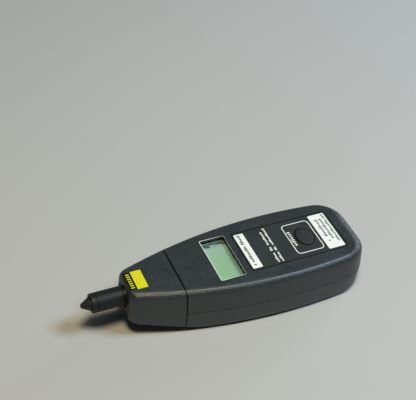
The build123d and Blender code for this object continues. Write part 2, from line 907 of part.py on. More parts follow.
nodes = {
    "front_shell": front_shell(),
    "rear_shell": rear_shell(),
    "nose_cap": nose_cap(),
    "battery_cover": battery_cover(),
    "front_panel": panel,
    "small_label": flat_field(small_label_size, small_label_from_nose, panel_top, label_corner),
    "rear_label": flat_field(rear_label_size, rear_label_from_nose, panel_top, label_corner),
    "nose_sticker": flat_field(sticker_size, sticker_from_nose, body_height, label_corner / 2),
    "lcd_window": plate(window_size, lcd_y, window_bottom, window_thickness, lcd_corner),
    "lcd_glass": plate(glass_size, lcd_y, glass_bottom, glass_thickness, lcd_corner / 2),
    "lcd_frame": lcd_frame(),
    "contact_strips": Compound(contact_strips()),
    "memory_button": memory_button(),
    "memory_plunger": memory_plunger(),
    "memory_switch": memory_switch(),
    "measure_button": measure_button(),
    "measure_plunger": measure_plunger(),
    "measure_switch": measure_switch(),
    "main_board": main_board(),
    "main_chip": main_chip(),
    "capacitor": capacitor(),
    "board_screws": Compound([screw(x, y, board_level, *board_screw_limits) for x, y in board_posts]),
    "case_screws": Compound([screw(x, y, case_screw_seat, *case_screw_limits) for x, y in case_posts]),
    "battery_springs": Compound([spring(index) for index in range(cell_count)]),
    "battery_contacts": Compound(contact_plates()),
    "battery_leads": Compound(battery_leads()),
    "sensor_board": sensor_board(),
    "laser_module": laser_module(),
    "light_receiver": light_receiver(),
    "optics_block": optics_block(),
    "sensor_window": along(neck_y, sensor_window_thickness, sensor_window_diameter),
    "sensor_ribbon": sensor_ribbon(),
    "adapter_socket": adapter_socket(),
    "socket_nut": socket_nut(),
    "adapter_housing": adapter_housing(),
    "adapter_cap": adapter_cap(),
    "rear_bearing": bearing(rear_bearing_y),
    "front_bearing": bearing(front_bearing_y),
    "contact_shaft": contact_shaft(),
    "mark_disc": mark_disc(),
    "shaft_clip": shaft_clip(),
    "contact_tip": contact_tip(),
}
for number in range(cell_count):
    nodes[f"battery_{number + 1}"] = cell(number)

os.makedirs("parts", exist_ok=True)
for name, solid in nodes.items():
    export_step(solid, f"parts/{name}.step")
    print(f"{name}: {solid.volume:.1f} cubic mm")
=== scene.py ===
import bpy
import numpy as np
from mathutils import Matrix, Vector


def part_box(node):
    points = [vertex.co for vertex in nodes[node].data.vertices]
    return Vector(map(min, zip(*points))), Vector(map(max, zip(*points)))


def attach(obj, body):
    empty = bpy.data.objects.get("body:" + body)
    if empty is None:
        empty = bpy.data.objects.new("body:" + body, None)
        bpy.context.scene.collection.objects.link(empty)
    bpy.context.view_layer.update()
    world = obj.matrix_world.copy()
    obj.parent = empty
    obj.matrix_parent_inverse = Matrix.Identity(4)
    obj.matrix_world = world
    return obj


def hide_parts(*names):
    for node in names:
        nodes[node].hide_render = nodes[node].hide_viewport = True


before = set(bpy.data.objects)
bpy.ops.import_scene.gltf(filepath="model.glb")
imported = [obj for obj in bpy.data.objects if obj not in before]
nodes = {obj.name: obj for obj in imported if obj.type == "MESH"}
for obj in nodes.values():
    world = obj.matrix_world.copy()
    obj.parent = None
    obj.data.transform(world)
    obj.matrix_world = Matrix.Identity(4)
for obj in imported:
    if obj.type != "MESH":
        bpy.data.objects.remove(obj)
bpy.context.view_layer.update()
mm = 0.001
fullTurn = 2 * np.pi


def corners(node):
    low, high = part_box(node)
    return np.array(low), np.array(high)


# Where the prints, the rim and the lip sit, read from the frame
stickerLow, stickerHigh = corners("nose_sticker")
windowLow, windowHigh = corners("lcd_window")
buttonLow, buttonHigh = corners("memory_button")
panelLow, panelHigh = corners("front_panel")
panelTop = panelHigh[2]
glassTop = corners("lcd_glass")[1][2]
faceTop = corners("front_shell")[1][2]
panelMiddle = (panelLow[:2] + panelHigh[:2]) / 2
panelSize = panelHigh[:2] - panelLow[:2]
# the joint line across the face lies half its gap behind the nose cap's rim
seamGap = 0.5 * mm
seamY = corners("nose_cap")[0][1] - seamGap / 2
# the display's opening is smaller than the window under it by this much on each side
windowMargin = 1.9 * mm
openLow = windowLow[:2] + windowMargin
openHigh = windowHigh[:2] - windowMargin
openMiddle = (openLow + openHigh) / 2
openSize = openHigh - openLow
print("frame loaded:", len(nodes), "nodes")

# The camera stands where the photograph's did, at the nose's end on the left
camera = {
    "place": (-0.4553, 0.2410, 0.5457),
    "right": (-0.3939, -0.9172, 0.0608),
    "up": (0.6278, -0.2201, 0.7467),
    "back": (-0.6714, 0.3323, 0.6624),
    "lens": 88.98,
    "sensor": 36.0,
    "near": 0.01,
    "far": 20,
}


def makeCamera():
    lens = bpy.data.cameras.new("camera")
    lens.sensor_fit = "HORIZONTAL"
    lens.sensor_width = camera["sensor"]
    lens.lens = camera["lens"]
    lens.clip_start = camera["near"]
    lens.clip_end = camera["far"]
    holder = bpy.data.objects.new("camera", lens)
    turn = Matrix((camera["right"], camera["up"], camera["back"])).transposed()
    holder.matrix_world = Matrix.Translation(camera["place"]) @ turn.to_4x4()
    bpy.context.collection.objects.link(holder)
    bpy.context.scene.camera = holder


makeCamera()
print("camera placed")

# Finishes


def linear(hexColour):
    # sRGB hex to the linear values that shaders work in
    value = np.array([int(hexColour[i : i + 2], 16) for i in (1, 3, 5)]) / 255
    low = value / 12.92
    high = ((value + 0.055) / 1.055) ** 2.4
    return (*np.where(value <= 0.04045, low, high).tolist(), 1.0)


def addNode(tree, kind, settings=None, links=None):
    # settings name an input socket, or else a property of the node;
    # a colour mix has its share in socket 0 and its two colours in sockets 6 and 7
    node = tree.nodes.new(kind)
    for key, value in (settings or {}).items():
        if isinstance(key, int) or key in node.inputs:
            node.inputs[key].default_value = value
        else:
            setattr(node, key, value)
    for key, source in (links or {}).items():
        tree.links.new(source, node.inputs[key])
    return node


def startMaterial(name):
    material = bpy.data.materials.new(name)
    material.use_nodes = True
    tree = material.node_tree
    tree.nodes.clear()
    place = addNode(tree, "ShaderNodeTexCoord").outputs["Object"]
    return material, tree, place


def endMaterial(tree, shader):
    addNode(tree, "ShaderNodeOutputMaterial", links={"Surface": shader})


def perMetre(sizeMm):
    # how often a pattern of that size in millimetres fits in a metre
    return 1 / (sizeMm * mm)


# Most of a noise texture's values lie between these
noiseSpan = {"From Min": 0.3, "From Max": 0.7}
fineNoiseSpan = {"From Min": 0.35, "From Max": 0.65}


def mouldedPlastic(name, look):
    # moulded, printed or extruded plastic and rubber: a fine grain, faint mottling from the flow,
    # and a sheen that varies with handling
    material, tree, place = startMaterial(name)
    grain = addNode(
        tree,
        "ShaderNodeTexNoise",
        {"Scale": perMetre(look["grain"]), "Detail": 3.0, "Roughness": 0.6},
        {"Vector": place},
    )
    cloud = addNode(
        tree,
        "ShaderNodeTexNoise",
        {"Scale": perMetre(look["cloud"]), "Detail": 4.0},
        {"Vector": place},
    )
    tint = addNode(
        tree,
        "ShaderNodeMix",
        {"data_type": "RGBA", 6: linear(look["dark"]), 7: linear(look["light"])},
        {0: cloud.outputs["Fac"]},
    )
    fleck = addNode(
        tree,
        "ShaderNodeMapRange",
        {**fineNoiseSpan, "To Min": 1 - look["fleck"], "To Max": 1 + look["fleck"]},
        {"Value": grain.outputs["Fac"]},
    )
    colour = addNode(
        tree,
        "ShaderNodeVectorMath",
        {"operation": "SCALE"},
        {0: tint.outputs[2], 3: fleck.outputs["Result"]},
    )
    if "seam" in look:
        # painted shade: the plastic is darkened beside the joint line, where the gap's shadow falls
        parts = addNode(tree, "ShaderNodeSeparateXYZ", links={"Vector": place})
        away = addNode(
            tree,
            "ShaderNodeMath",
            {"operation": "SUBTRACT", 1: look["seam"]},
            {0: parts.outputs["Y"]},
        )
        distance = addNode(
            tree, "ShaderNodeMath", {"operation": "ABSOLUTE"}, {0: away.outputs["Value"]}
        )
        seamShadeScale = addNode(
            tree,
            "ShaderNodeMapRange",
            {
                "From Min": look["seamWidth"] / 2 * mm,
                "From Max": look["seamWidth"] * mm,
                "To Min": look["seamLeft"],
                "To Max": 1.0,
            },
            {"Value": distance.outputs["Value"]},
        )
        colour = addNode(
            tree,
            "ShaderNodeVectorMath",
            {"operation": "SCALE"},
            {0: colour.outputs["Vector"], 3: seamShadeScale.outputs["Result"]},
        )
    roughLow = look["rough"] - look["roughSpread"]
    roughHigh = look["rough"] + look["roughSpread"]
    rough = addNode(
        tree,
        "ShaderNodeMapRange",
        {**noiseSpan, "To Min": roughLow, "To Max": roughHigh},
        {"Value": cloud.outputs["Fac"]},
    )
    bump = addNode(
        tree,
        "ShaderNodeBump",
        {"Strength": look["bump"], "Distance": look["depth"] * mm},
        {"Height": grain.outputs["Fac"]},
    )
    shader = addNode(
        tree,
        "ShaderNodeBsdfPrincipled",
        {"IOR": 1.53, "Specular IOR Level": look.get("sheen", 0.5)},
        {
            "Base Color": colour.outputs["Vector"],
            "Roughness": rough.outputs["Result"],
            "Normal": bump.outputs["Normal"],
        },
    )
    endMaterial(tree, shader.outputs["BSDF"])
    return material


def liquidCell(name, look):
    # liquid crystal cell: an even green reflector, with a painted reflection that pales it towards the far
    # end and a painted band of shade and dark reflection near the far edge, both streaked as the room
    # mirrored in the polariser
    material, tree, place = startMaterial(name)
    parts = addNode(tree, "ShaderNodeSeparateXYZ", links={"Vector": place})
    stretched = addNode(
        tree, "ShaderNodeMapping", {"Scale": (1, look["streak"], 1)}, {"Vector": place}
    )
    streaks = addNode(
        tree,
        "ShaderNodeTexNoise",
        {"Scale": perMetre(look["streakSize"]), "Detail": 3.0},
        {"Vector": stretched.outputs["Vector"]},
    )
    even = addNode(
        tree,
        "ShaderNodeTexNoise",
        {"Scale": perMetre(look["cloud"]), "Detail": 2.0},
        {"Vector": place},
    )
    tint = addNode(
        tree,
        "ShaderNodeMix",
        {"data_type": "RGBA", 6: linear(look["dark"]), 7: linear(look["light"])},
        {0: even.outputs["Fac"]},
    )
    # towards the rear the frame shades the reflector, which turns greyer and bluer there
    rear = addNode(
        tree,
        "ShaderNodeMapRange",
        {"From Min": look["shadeEnds"], "From Max": look["shadeFull"]},
        {"Value": parts.outputs["Y"]},
    )
    tint = addNode(
        tree,
        "ShaderNodeMix",
        {"data_type": "RGBA", 7: linear(look["shaded"])},
        {0: rear.outputs["Result"], 6: tint.outputs[2]},
    )
    # painted reflection and shade: each band mixes its colour in across the case, with a ragged edge
    for colour, start, end, ragged in look["bands"]:
        shift = addNode(
            tree,
            "ShaderNodeMapRange",
            {**noiseSpan, "To Min": -ragged * mm, "To Max": ragged * mm},
            {"Value": streaks.outputs["Fac"]},
        )
        along = addNode(
            tree,
            "ShaderNodeMath",
            {"operation": "ADD"},
            {0: parts.outputs["X"], 1: shift.outputs["Result"]},
        )
        share = addNode(
            tree,
            "ShaderNodeMapRange",
            {"From Min": start * mm, "From Max": end * mm},
            {"Value": along.outputs["Value"]},
        )
        tint = addNode(
            tree,
            "ShaderNodeMix",
            {"data_type": "RGBA", 7: linear(colour)},
            {0: share.outputs["Result"], 6: tint.outputs[2]},
        )
    bump = addNode(
        tree,
        "ShaderNodeBump",
        {"Strength": look["bump"], "Distance": look["depth"] * mm},
        {"Height": even.outputs["Fac"]},
    )
    shader = addNode(
        tree,
        "ShaderNodeBsdfPrincipled",
        {"Roughness": look["rough"]},
        {"Base Color": tint.outputs[2], "Normal": bump.outputs["Normal"]},
    )
    endMaterial(tree, shader.outputs["BSDF"])
    return material


def turnedMetal(name, look):
    # plated, ground or turned metal: fine tool marks round or along one axis, with dulled patches
    material, tree, place = startMaterial(name)
    stretched = addNode(tree, "ShaderNodeMapping", {"Scale": look["stretch"]}, {"Vector": place})
    marks = addNode(
        tree,
        "ShaderNodeTexNoise",
        {"Scale": perMetre(look["mark"]), "Detail": 2.0},
        {"Vector": stretched.outputs["Vector"]},
    )
    patches = addNode(
        tree,
        "ShaderNodeTexNoise",
        {"Scale": perMetre(look["patch"]), "Detail": 3.0},
        {"Vector": place},
    )
    tint = addNode(
        tree,
        "ShaderNodeMix",
        {"data_type": "RGBA", 6: linear(look["dark"]), 7: linear(look["light"])},
        {0: patches.outputs["Fac"]},
    )
    roughLow = look["rough"] - toolMarks["roughSpread"]
    roughHigh = look["rough"] + toolMarks["roughSpread"]
    rough = addNode(
        tree,
        "ShaderNodeMapRange",
        {**noiseSpan, "To Min": roughLow, "To Max": roughHigh},
        {"Value": marks.outputs["Fac"]},
    )
    bump = addNode(
        tree,
        "ShaderNodeBump",
        {"Strength": toolMarks["bump"], "Distance": toolMarks["depth"] * mm},
        {"Height": marks.outputs["Fac"]},
    )
    shader = addNode(
        tree,
        "ShaderNodeBsdfPrincipled",
        {"Metallic": 1.0},
        {
            "Base Color": tint.outputs[2],
            "Roughness": rough.outputs["Result"],
            "Normal": bump.outputs["Normal"],
        },
    )
    endMaterial(tree, shader.outputs["BSDF"])
    return material


def castAcrylic(name, look):
    # clear acrylic sheet: light goes straight through, and only its skin mirrors the room
    material, tree, place = startMaterial(name)
    smear = addNode(
        tree,
        "ShaderNodeTexNoise",
        {"Scale": perMetre(look["smear"]), "Detail": 3.0},
        {"Vector": place},
    )
    roughLow = look["rough"] * (1 - look["smearShare"])
    roughHigh = look["rough"] * (1 + look["smearShare"])
    rough = addNode(
        tree,
        "ShaderNodeMapRange",
        {**noiseSpan, "To Min": roughLow, "To Max": roughHigh},
        {"Value": smear.outputs["Fac"]},
    )
    through = addNode(tree, "ShaderNodeBsdfTransparent", {"Color": linear(look["tint"])})
    mirror = addNode(
        tree,
        "ShaderNodeBsdfGlossy",
        {"Color": (1, 1, 1, 1)},
        {"Roughness": rough.outputs["Result"]},
    )
    # the skin mirrors only from outside, so that no light is caught within the sheet
    amount = addNode(tree, "ShaderNodeFresnel", {"IOR": 1.49})
    inside = addNode(tree, "ShaderNodeNewGeometry").outputs["Backfacing"]
    outside = addNode(tree, "ShaderNodeMath", {"operation": "SUBTRACT", 0: 1.0}, {1: inside})
    skinAmount = addNode(
        tree,
        "ShaderNodeMath",
        {"operation": "MULTIPLY"},
        {0: amount.outputs["Fac"], 1: outside.outputs["Value"]},
    )
    skin = addNode(
        tree,
        "ShaderNodeMixShader",
        links={0: skinAmount.outputs["Value"], 1: through.outputs["BSDF"], 2: mirror.outputs["BSDF"]},
    )
    endMaterial(tree, skin.outputs["Shader"])
    return material


def lacqueredBoard(name, look):
    # glass-fibre board under green lacquer: copper tracks show as paler lines, the weave as a faint check
    material, tree, place = startMaterial(name)
    tracks = addNode(
        tree,
        "ShaderNodeTexBrick",
        {
            "Scale": 1.0,
            "Brick Width": look["trackLength"] * mm,
            "Row Height": look["track"] * mm,
            "Mortar Size": look["trackWidth"] * mm,
            "Color1": linear(look["lacquer"]),
            "Color2": linear(look["lacquerDark"]),
            "Mortar": linear(look["copper"]),
        },
        {"Vector": place},
    )
    # a wave texture of scale 1 turns through 20 radians in a metre
    weave = addNode(
        tree,
        "ShaderNodeTexWave",
        {"Scale": perMetre(look["weave"]) * fullTurn / 20, "Distortion": 0.5},
        {"Vector": place},
    )
    bump = addNode(
        tree,
        "ShaderNodeBump",
        {"Strength": look["bump"], "Distance": look["depth"] * mm},
        {"Height": weave.outputs["Fac"]},
    )
    shader = addNode(
        tree,
        "ShaderNodeBsdfPrincipled",
        {"Roughness": look["rough"], "IOR": 1.5},
        {"Base Color": tracks.outputs["Color"], "Normal": bump.outputs["Normal"]},
    )
    endMaterial(tree, shader.outputs["BSDF"])
    return material


def printedSleeve(name, look, bandFrom, before):
    # a printed film sleeve shrunk round the can, with a second colour over the plus end
    material, tree, place = startMaterial(name)
    parts = addNode(tree, "ShaderNodeSeparateXYZ", links={"Vector": place})
    edge = addNode(
        tree,
        "ShaderNodeMapRange",
        {
            "From Min": bandFrom - look["edge"] / 2 * mm,
            "From Max": bandFrom + look["edge"] / 2 * mm,
            "To Min": before,
            "To Max": 1 - before,
        },
        {"Value": parts.outputs["Y"]},
    )
    tint = addNode(
        tree,
        "ShaderNodeMix",
        {"data_type": "RGBA", 6: linear(look["body"]), 7: linear(look["band"])},
        {0: edge.outputs["Result"]},
    )
    creases = addNode(
        tree,
        "ShaderNodeTexNoise",
        {"Scale": perMetre(look["crease"]), "Detail": 2.0},
        {"Vector": place},
    )
    bump = addNode(
        tree,
        "ShaderNodeBump",
        {"Strength": look["bump"], "Distance": look["depth"] * mm},
        {"Height": creases.outputs["Fac"]},
    )
    shader = addNode(
        tree,
        "ShaderNodeBsdfPrincipled",
        {"Roughness": look["rough"], "IOR": 1.5},
        {"Base Color": tint.outputs[2], "Normal": bump.outputs["Normal"]},
    )
    endMaterial(tree, shader.outputs["BSDF"])
    return material


# Grains, clouds and depths are in millimetres. The real grains are mostly finer than these, but below
# about 0.4 mm nothing of them would show.
plasticLook = {
    # spark-eroded ABS, charcoal: its grain breaks the highlights up;
    # the real grain of about 0.4 mm is drawn at 1.1 so that it shows
    "charcoalAbs": {
        "dark": "#292f30",
        "light": "#303639",
        "grain": 1.1,
        "cloud": 16,
        "fleck": 0.35,
        "rough": 0.38,
        "roughSpread": 0.05,
        "bump": 1.0,
        "depth": 0.24,
        "sheen": 0.5,
        "seam": seamY,
        "seamWidth": 1.0,
        # the share of the colour that is left right at the joint line
        "seamLeft": 0.12,
    },
    # screen-printed polycarbonate film, smoother and a little flatter than the case
    "panelFilm": {
        "dark": "#282d2e",
        "light": "#2e3334",
        "grain": 0.7,
        "cloud": 20,
        "fleck": 0.1,
        "rough": 0.42,
        "roughSpread": 0.05,
        "bump": 0.3,
        "depth": 0.06,
    },
    # the tube's ABS, moulded smoother: nearly black, with one soft streak of light along it
    "tubeAbs": {
        "dark": "#181b1d",
        "light": "#202326",
        "grain": 0.5,
        "cloud": 9,
        "fleck": 0.08,
        "rough": 0.5,
        "roughSpread": 0.05,
        "bump": 0.2,
        "depth": 0.04,
        "sheen": 0.2,
    },
    # the tube's end cap, of coarser moulded ABS: more speckled than the barrel
    "capAbs": {
        "dark": "#141617",
        "light": "#1f2122",
        "grain": 0.9,
        "cloud": 3,
        "fleck": 0.35,
        "rough": 0.5,
        "roughSpread": 0.06,
        "bump": 0.8,
        "depth": 0.15,
        "sheen": 0.25,
    },
    # the buttons' ABS, fine and almost matt: a dark body under a wide soft sheen
    "buttonAbs": {
        "dark": "#111416",
        "light": "#1a1c1e",
        "grain": 0.5,
        "cloud": 6,
        "fleck": 0.06,
        "rough": 0.54,
        "roughSpread": 0.05,
        "bump": 0.15,
        "depth": 0.03,
        "sheen": 0.75,
    },
    # moulded nylon of the inner parts and the socket: black and satin
    "blackMoulding": {
        "dark": "#101112",
        "light": "#191a1b",
        "grain": 0.5,
        "cloud": 8,
        "fleck": 0.08,
        "rough": 0.4,
        "roughSpread": 0.08,
        "bump": 0.2,
        "depth": 0.03,
    },
    # white self-adhesive vinyl: even and half matt
    "labelFilm": {
        "dark": "#dfe3e0",
        "light": "#ebefec",
        "grain": 0.7,
        "cloud": 5,
        "fleck": 0.02,
        "rough": 0.42,
        "roughSpread": 0.06,
        "bump": 0.08,
        "depth": 0.02,
    },
    # yellow self-adhesive vinyl: the same film in one strong colour
    "yellowFilm": {
        "dark": "#cbc816",
        "light": "#dbd62c",
        "grain": 0.7,
        "cloud": 4,
        "fleck": 0.04,
        "rough": 0.4,
        "roughSpread": 0.06,
        "bump": 0.08,
        "depth": 0.02,
    },
    # screen-printed black ink, and the same black for painted shade lines: so matt that it stays dark at
    # low angles
    "blackInkAndShade": {
        "dark": "#0c0c09",
        "light": "#14140f",
        "grain": 0.6,
        "cloud": 5,
        "fleck": 0.05,
        "rough": 0.6,
        "roughSpread": 0.05,
        "bump": 0.1,
        "depth": 0.02,
        "sheen": 0.12,
    },
    # screen-printed white ink: evenly bright and matt
    "whiteInk": {
        "dark": "#e4e5e1",
        "light": "#f2f3ef",
        "grain": 0.6,
        "cloud": 5,
        "fleck": 0.03,
        "rough": 0.5,
        "roughSpread": 0.05,
        "bump": 0.1,
        "depth": 0.02,
    },
    # thinly printed grey ink: its tone varies a little from mark to mark
    "greyInk": {
        "dark": "#3c3c37",
        "light": "#565650",
        "grain": 0.6,
        "cloud": 3,
        "fleck": 0.08,
        "rough": 0.5,
        "roughSpread": 0.05,
        "bump": 0.1,
        "depth": 0.02,
    },
    # painted highlight: a pale glossy colour for the light that the window's cut and polished acrylic edge
    # catches
    "edgeHighlightPaint": {
        "dark": "#dbe4df",
        "light": "#eef5f1",
        "grain": 0.8,
        "cloud": 4,
        "fleck": 0.03,
        "rough": 0.2,
        "roughSpread": 0.05,
        "bump": 0.05,
        "depth": 0.02,
    },
    # painted highlight: a dull pale colour for the light along the inner edges of the display's recess,
    # seen under the window
    "paleRim": {
        "dark": "#b9c2bc",
        "light": "#cdd5d0",
        "grain": 0.6,
        "cloud": 4,
        "fleck": 0.04,
        "rough": 0.35,
        "roughSpread": 0.05,
        "bump": 0.1,
        "depth": 0.02,
    },
    # layered silicone strip: dark grey and dull
    "stripRubber": {
        "dark": "#26262a",
        "light": "#313136",
        "grain": 0.4,
        "cloud": 3,
        "fleck": 0.1,
        "rough": 0.6,
        "roughSpread": 0.05,
        "bump": 0.2,
        "depth": 0.03,
    },
    # moulded rubber of the tip: nearly black, with a broad faint light
    "tipRubber": {
        "dark": "#0f1010",
        "light": "#181919",
        "grain": 0.4,
        "cloud": 4,
        "fleck": 0.1,
        "rough": 0.62,
        "roughSpread": 0.08,
        "bump": 0.3,
        "depth": 0.05,
    },
    # extruded PVC of the leads: smooth red
    "leadSleeve": {
        "dark": "#8a1310",
        "light": "#a11a16",
        "grain": 0.5,
        "cloud": 4,
        "fleck": 0.03,
        "rough": 0.35,
        "roughSpread": 0.05,
        "bump": 0.08,
        "depth": 0.02,
    },
    # laminated polyester ribbon: flat grey
    "ribbonFilm": {
        "dark": "#8f9092",
        "light": "#a0a1a3",
        "grain": 0.6,
        "cloud": 5,
        "fleck": 0.05,
        "rough": 0.45,
        "roughSpread": 0.05,
        "bump": 0.15,
        "depth": 0.03,
    },
}
# How deep tool marks are, and how far they spread the roughness
toolMarks = {"roughSpread": 0.08, "bump": 0.2, "depth": 0.02}
# A stretch below 1 draws the marks out along that axis, and one above 1 packs them closer
metalLook = {
    # zinc-plated steel screws: warm grey, with faint upright streaks
    "zincSteel": {
        "dark": "#a9a79c",
        "light": "#c6c5bd",
        "mark": 0.3,
        "patch": 3,
        "rough": 0.35,
        "stretch": (1, 1, 0.1),
    },
    # nickel-plated spring steel: brighter, drawn from side to side
    "nickelSteel": {
        "dark": "#b4b2ac",
        "light": "#cfcdc8",
        "mark": 0.3,
        "patch": 4,
        "rough": 0.28,
        "stretch": (0.1, 1, 1),
    },
    # ground steel of shaft and bearings: cool, with fine marks round the shaft
    "groundSteel": {
        "dark": "#a4a6a8",
        "light": "#bfc1c3",
        "mark": 0.2,
        "patch": 4,
        "rough": 0.25,
        "stretch": (1, 6, 1),
    },
    # turned brass: yellow, with fine marks round its axis
    "turnedBrass": {
        "dark": "#a8873f",
        "light": "#c9a85a",
        "mark": 0.2,
        "patch": 5,
        "rough": 0.3,
        "stretch": (1, 6, 1),
    },
    # drawn aluminium can and disc: pale and satin
    "satinAluminium": {
        "dark": "#b6b8ba",
        "light": "#cfd1d3",
        "mark": 0.2,
        "patch": 4,
        "rough": 0.38,
        "stretch": (1, 1, 6),
    },
}
acrylicLook = {"smear": 7, "smearShare": 0.4, "rough": 0.06, "tint": "#f4f8f4"}
displayLook = {
    "dark": "#a9caad",
    "light": "#b4d3ba",
    "cloud": 12,
    "streak": 0.3,
    "streakSize": 2.0,
    # the bands are painted light: the pale one is a painted reflection, the dark one painted shade and dark
    # reflection along the far edge
    # each band: its colour, where it starts and where it is full in millimetres across the case,
    # and how ragged its edge is
    "bands": [("#b6cdc8", 1.0, 14.0, 2.5), ("#4f5e62", 15.0, 17.5, 3.5)],
    # the shade at the rear: its colour, where it is full and where it ends
    "shaded": "#95bbbb",
    "shadeFull": windowLow[1] + 2.5 * mm,
    "shadeEnds": windowLow[1] + 8 * mm,
    "rough": 0.3,
    "bump": 0.05,
    "depth": 0.01,
}
boardLook = {
    "lacquer": "#14532a",
    "lacquerDark": "#10461f",
    "copper": "#3b7d45",
    "track": 2.0,
    "trackLength": 6.0,
    "trackWidth": 0.18,
    # a glass weave of about 0.5 mm, drawn twice as coarse
    "weave": 0.986,
    "rough": 0.35,
    "bump": 0.15,
    "depth": 0.02,
}
sleeveLook = {
    "body": "#23282e",
    "band": "#a96f2c",
    "bandLength": 14,
    "edge": 0.1,
    "crease": 6,
    "rough": 0.25,
    "bump": 0.1,
    "depth": 0.05,
}

finish = {name: mouldedPlastic(name, look) for name, look in plasticLook.items()}
finish.update({name: turnedMetal(name, look) for name, look in metalLook.items()})
finish["clearAcrylic"] = castAcrylic("clearAcrylic", acrylicLook)
finish["displayFilm"] = liquidCell("displayFilm", displayLook)
finish["boardLaminate"] = lacqueredBoard("boardLaminate", boardLook)

nodeFinish = {
    "charcoalAbs": ["front_shell", "rear_shell", "nose_cap", "battery_cover"],
    "panelFilm": ["front_panel"],
    "tubeAbs": ["adapter_housing"],
    "capAbs": ["adapter_cap"],
    "buttonAbs": ["memory_button", "measure_button"],
    "labelFilm": ["small_label", "rear_label"],
    "yellowFilm": ["nose_sticker"],
    "displayFilm": ["lcd_glass"],
    "clearAcrylic": ["lcd_window", "sensor_window"],
    "blackMoulding": [
        "lcd_frame",
        "memory_plunger",
        "memory_switch",
        "measure_plunger",
        "measure_switch",
        "main_chip",
        "optics_block",
        "light_receiver",
        "adapter_socket",
    ],
    "boardLaminate": ["main_board", "sensor_board"],
    "stripRubber": ["contact_strips"],
    "tipRubber": ["contact_tip"],
    "zincSteel": ["board_screws", "case_screws"],
    "nickelSteel": ["battery_springs", "battery_contacts", "shaft_clip"],
    "groundSteel": ["front_bearing", "rear_bearing", "contact_shaft"],
    "turnedBrass": ["laser_module", "socket_nut"],
    "satinAluminium": ["capacitor", "mark_disc"],
    "leadSleeve": ["battery_leads"],
    "ribbonFilm": ["sensor_ribbon"],
}


def dress(node, material):
    piece = nodes[node]
    piece.data.materials.clear()
    piece.data.materials.append(material)


for name, group in nodeFinish.items():
    for node in group:
        dress(node, finish[name])

for index, node in enumerate(["battery_1", "battery_2", "battery_3", "battery_4"]):
    # every other cell is turned round, so its band starts from the other end
    low, high = corners(node)
    plusAtNose = index % 2 == 0
    bandLength = sleeveLook["bandLength"] * mm
    bandFrom = high[1] - bandLength if plusAtNose else low[1] + bandLength
    before = 0 if plusAtNose else 1
    dress(node, printedSleeve("cellSleeve" + str(index + 1), sleeveLook, bandFrom, before))
print("finishes made:", len(finish))

# Printed and thin pieces

# A print stands this high on what carries it, its edge is rounded, and its foot is sunk into it
inkHeight = 0.04 * mm
inkBevel = 0.015 * mm
inkSink = 0.01 * mm
smallestCorner = 0.01 * mm


def joined(x, y, z):
    # three fields on one grid, each as large as it needs to be, become a grid of points
    return np.stack(np.broadcast_arrays(x, y, z), axis=-1)


def roundedOutline(width, length, corner, count=32):
    # a rectangle whose corners are arcs: the angle runs once round, and each quarter sits on its own corner
    angle = (np.arange(count) + 0.5) * fullTurn / count
    x = np.sign(np.cos(angle)) * (width / 2 - corner) + corner * np.cos(angle)
    y = np.sign(np.sin(angle)) * (length / 2 - corner) + corner * np.sin(angle)
    return x, y


def plateGrid(middle, size, corner, low, high, bevel, count=32):
    # rows of one outline: at the bottom, below the rounded edge, and drawn in on top
    inset = np.array([0, 0, bevel])[:, None]
    level = np.array([low, high - bevel, high])[:, None]
    drawnIn = np.maximum(corner - inset, smallestCorner)
    x, y = roundedOutline(size[0] - 2 * inset, size[1] - 2 * inset, drawnIn, count)
    return joined(middle[0] + x, middle[1] + y, level)


def rimGrid(middle, size, corner, width, low, high, thinning=0, across=8, count=64):
    # a low hump carried round a rounded rectangle: half an ellipse across the line, flat below;
    # each point lies between the line's middle and its offset, and the offset shrinks towards the rear
    # by the thinning
    turn = np.arange(across)[:, None] * fullTurn / across
    out = width / 2 * np.cos(turn)
    middleX, middleY = roundedOutline(size[0], size[1], corner, count)
    x, y = roundedOutline(size[0] + 2 * out, size[1] + 2 * out, corner + out, count)
    share = 1 - thinning * np.clip(0.5 - middleY / size[1], 0, 1)
    x = middle[0] + middleX + (x - middleX) * share
    y = middle[1] + middleY + (y - middleY) * share
    return joined(x, y, low + (high - low) * np.maximum(np.sin(turn), 0))


def ovalRingGrid(middle, look, low, high, across=8, count=96):
    # the same low hump carried round an oval, just outside the button's opening;
    # its width rises and falls with the cosine of the angle from its heavy side
    turn = np.arange(across)[:, None] * fullTurn / across
    angle = np.arange(count)[None, :] * fullTurn / count
    width = look["width"] * (1 + look["heavier"] * np.cos(angle - np.radians(look["heavySide"])))
    out = look["gap"] + width / 2 * (1 + np.cos(turn))
    x = middle[0] + (look["opening"][0] + out) * mm * np.cos(angle)
    y = middle[1] + (look["opening"][1] + out) * mm * np.sin(angle)
    return joined(x, y, low + (high - low) * np.maximum(np.sin(turn), 0))


def ovalGrid(middle, rows, count=96):
    # each row is an ellipse of two half widths at a height, with its middle as far off the axis as
    # the row's last value
    angle = np.arange(count)[None, :] * fullTurn / count
    x = middle[0] + rows[:, 3, None] + rows[:, 0, None] * np.cos(angle)
    y = middle[1] + rows[:, 1, None] * np.sin(angle)
    return joined(x, y, rows[:, 2, None])


